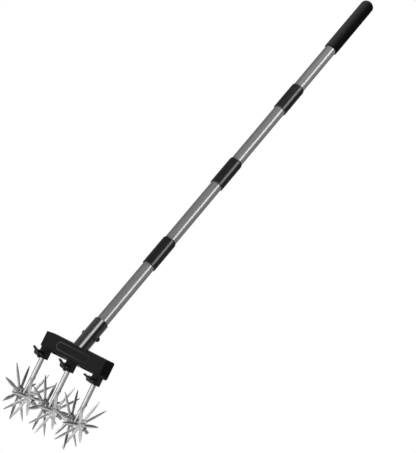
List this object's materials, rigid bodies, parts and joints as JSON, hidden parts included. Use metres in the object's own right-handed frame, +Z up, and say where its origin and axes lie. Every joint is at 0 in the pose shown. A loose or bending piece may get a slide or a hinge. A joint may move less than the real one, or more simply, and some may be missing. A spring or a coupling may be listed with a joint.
{
  "type": "hand rotary cultivator",
  "caption": "Long-handled hand cultivator: a sectioned tube handle leans from a cross-bar whose clamped shanks each carry a pair of tilted, spiked star wheels that roll.",
  "frame": {"origin": "on the handle axis, at the middle of the straight part of the grip", "axes": "+X along the cross-bar, +Z up along the shanks, the handle leans back from +Z towards +Y"},
  "size_m": [0.2108, 0.5447, 1.2017],
  "materials": {
    "housing_black": "fine moulded grain",
    "socket_black": "gloss black enamel",
    "shank_steel": "bright zinc plate",
    "cast_alloy": "as cast, light grey",
    "tube_grey": "satin grey",
    "sleeve_black": "semi-gloss black",
    "grip_foam": "fine cell foam, matt",
    "knob_black": "semi-gloss black",
    "collar_brass": "turned",
    "zinc_steel": "zinc plated",
    "bolt_black": "blackened"
  },
  "bodies": {
    "head_and_handle": {"head_housing": "housing_black", "handle_socket": "socket_black", "socket_bolt": "bolt_black", "socket_nut": "bolt_black", "grip": "grip_foam", "clamp_block_left": "housing_black", "clamp_block_middle": "housing_black", "clamp_block_right": "housing_black", "sleeve_1": "sleeve_black", "sleeve_2": "sleeve_black", "sleeve_3": "sleeve_black", "tube_1": "tube_grey", "tube_2": "tube_grey", "tube_3": "tube_grey", "tube_4": "tube_grey"},
    "shank_left_assembly": {"shank_left": "shank_steel", "axle_left": "zinc_steel", "axle_spacer_left_left": "zinc_steel", "axle_spacer_left_right": "zinc_steel", "axle_clip_left_left": "zinc_steel", "axle_clip_left_right": "zinc_steel"},
    "wheel_left_left": {"star_wheel_left_left": "cast_alloy"},
    "wheel_left_right": {"star_wheel_left_right": "cast_alloy"},
    "collar_left_ring": {"screw_collar_left": "collar_brass", "screw_washer_left": "bolt_black"},
    "wing_screw_left": {"wing_knob_left": "knob_black", "screw_stud_left": "bolt_black"},
    "shank_middle_assembly": {"shank_middle": "shank_steel", "axle_middle": "zinc_steel", "axle_spacer_middle_left": "zinc_steel", "axle_spacer_middle_right": "zinc_steel", "axle_clip_middle_left": "zinc_steel", "axle_clip_middle_right": "zinc_steel"},
    "wheel_middle_left": {"star_wheel_middle_left": "cast_alloy"},
    "wheel_middle_right": {"star_wheel_middle_right": "cast_alloy"},
    "collar_middle_ring": {"screw_collar_middle": "collar_brass", "screw_washer_middle": "bolt_black"},
    "wing_screw_middle": {"wing_knob_middle": "knob_black", "screw_stud_middle": "bolt_black"},
    "shank_right_assembly": {"shank_right": "shank_steel", "axle_right": "zinc_steel", "axle_spacer_right_left": "zinc_steel", "axle_spacer_right_right": "zinc_steel", "axle_clip_right_left": "zinc_steel", "axle_clip_right_right": "zinc_steel"},
    "wheel_right_left": {"star_wheel_right_left": "cast_alloy"},
    "wheel_right_right": {"star_wheel_right_right": "cast_alloy"},
    "collar_right_ring": {"screw_collar_right": "collar_brass", "screw_washer_right": "bolt_black"},
    "wing_screw_right": {"wing_knob_right": "knob_black", "screw_stud_right": "bolt_black"}
  },
  "joints": [
    {"name": "shank_left_height", "type": "slide", "parent": "head_and_handle", "child": "shank_left_assembly", "axis": [0, 0, 1], "range_m": [-0.03, 0]},
    {"name": "wheel_left_left_spin", "type": "hinge", "parent": "shank_left_assembly", "child": "wheel_left_left", "pos_m": [-0.08319, -0.43378, -1.0583], "axis": [0.9426, 0, 0.3338], "continuous": true},
    {"name": "wheel_left_right_spin", "type": "hinge", "parent": "shank_left_assembly", "child": "wheel_left_right", "pos_m": [-0.05681, -0.43378, -1.0583], "axis": [0.9426, 0, -0.3338], "continuous": true},
    {"name": "wing_screw_left_travel", "type": "slide", "parent": "head_and_handle", "child": "collar_left_ring", "axis": [0, -1, 0], "range_m": [0, 0.0025]},
    {"name": "wing_screw_left_turn", "type": "hinge", "parent": "collar_left_ring", "child": "wing_screw_left", "pos_m": [-0.07, -0.43378, -0.96806], "axis": [0, -1, 0], "range_deg": [0, 720]},
    {"name": "shank_middle_height", "type": "slide", "parent": "head_and_handle", "child": "shank_middle_assembly", "axis": [0, 0, 1], "range_m": [-0.03, 0]},
    {"name": "wheel_middle_left_spin", "type": "hinge", "parent": "shank_middle_assembly", "child": "wheel_middle_left", "pos_m": [-0.01319, -0.43378, -1.0583], "axis": [0.9426, 0, 0.3338], "continuous": true},
    {"name": "wheel_middle_right_spin", "type": "hinge", "parent": "shank_middle_assembly", "child": "wheel_middle_right", "pos_m": [0.01319, -0.43378, -1.0583], "axis": [0.9426, 0, -0.3338], "continuous": true},
    {"name": "wing_screw_middle_travel", "type": "slide", "parent": "head_and_handle", "child": "collar_middle_ring", "axis": [0, -1, 0], "range_m": [0, 0.0025]},
    {"name": "wing_screw_middle_turn", "type": "hinge", "parent": "collar_middle_ring", "child": "wing_screw_middle", "pos_m": [0, -0.43378, -0.96806], "axis": [0, -1, 0], "range_deg": [0, 720]},
    {"name": "shank_right_height", "type": "slide", "parent": "head_and_handle", "child": "shank_right_assembly", "axis": [0, 0, 1], "range_m": [-0.03, 0]},
    {"name": "wheel_right_left_spin", "type": "hinge", "parent": "shank_right_assembly", "child": "wheel_right_left", "pos_m": [0.05681, -0.43378, -1.0583], "axis": [0.9426, 0, 0.3338], "continuous": true},
    {"name": "wheel_right_right_spin", "type": "hinge", "parent": "shank_right_assembly", "child": "wheel_right_right", "pos_m": [0.08319, -0.43378, -1.0583], "axis": [0.9426, 0, -0.3338], "continuous": true},
    {"name": "wing_screw_right_travel", "type": "slide", "parent": "head_and_handle", "child": "collar_right_ring", "axis": [0, -1, 0], "range_m": [0, 0.0025]},
    {"name": "wing_screw_right_turn", "type": "hinge", "parent": "collar_right_ring", "child": "wing_screw_right", "pos_m": [0.07, -0.43378, -0.96806], "axis": [0, -1, 0], "range_deg": [0, 720]}
  ],
  "couplings": [
    {"joint": "wheel_left_right_spin", "follows": "wheel_left_left_spin", "ratio": 1},
    {"joint": "wing_screw_left_travel", "follows": "wing_screw_left_turn", "m_per_rad": 0.00019894},
    {"joint": "wheel_middle_right_spin", "follows": "wheel_middle_left_spin", "ratio": 1},
    {"joint": "wing_screw_middle_travel", "follows": "wing_screw_middle_turn", "m_per_rad": 0.00019894},
    {"joint": "wheel_right_right_spin", "follows": "wheel_right_left_spin", "ratio": 1},
    {"joint": "wing_screw_right_travel", "follows": "wing_screw_right_turn", "m_per_rad": 0.00019894}
  ]
}
